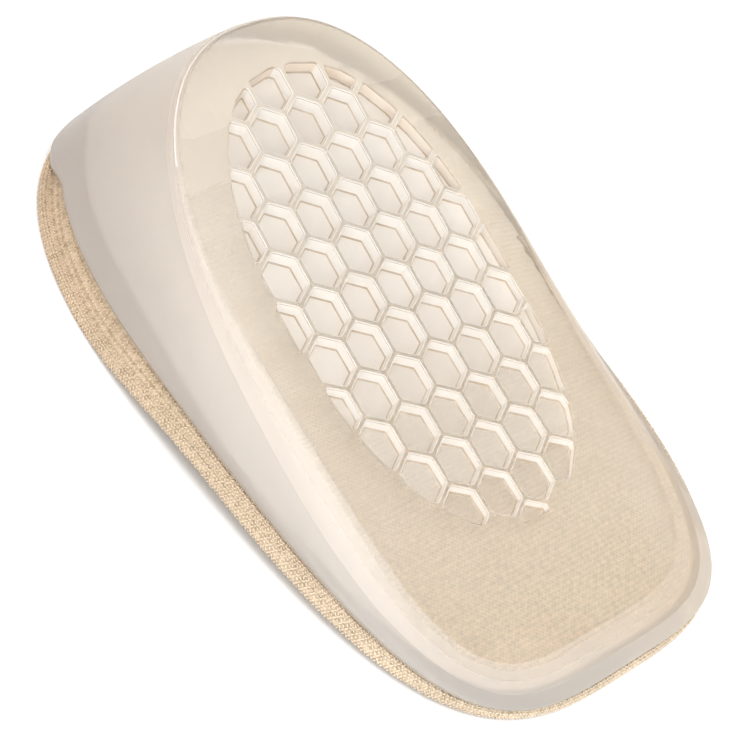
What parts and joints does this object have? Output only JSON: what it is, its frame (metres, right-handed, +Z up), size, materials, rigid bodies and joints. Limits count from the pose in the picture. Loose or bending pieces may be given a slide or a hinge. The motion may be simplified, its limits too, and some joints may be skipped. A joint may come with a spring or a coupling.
{
  "type": "heel cup",
  "caption": "Wedge-shaped clear gel heel cup with a honeycomb underside and a beige knitted cover over its cupped heel seat.",
  "frame": {"origin": "on the ground, under the middle of the outline, with the cup upside down on its rim", "axes": "+X along the cup to its thin front end, +Y across it, +Z up out of the honeycomb underside"},
  "size_m": [0.0922, 0.0656, 0.0219],
  "materials": {
    "gel": "clear soft silicone gel, glossy with a faint milky haze",
    "knit": "fine beige warp knit, matte"
  },
  "bodies": {
    "root": {"gel_body": "gel", "fabric_cover": "knit"}
  },
  "joints": []
}
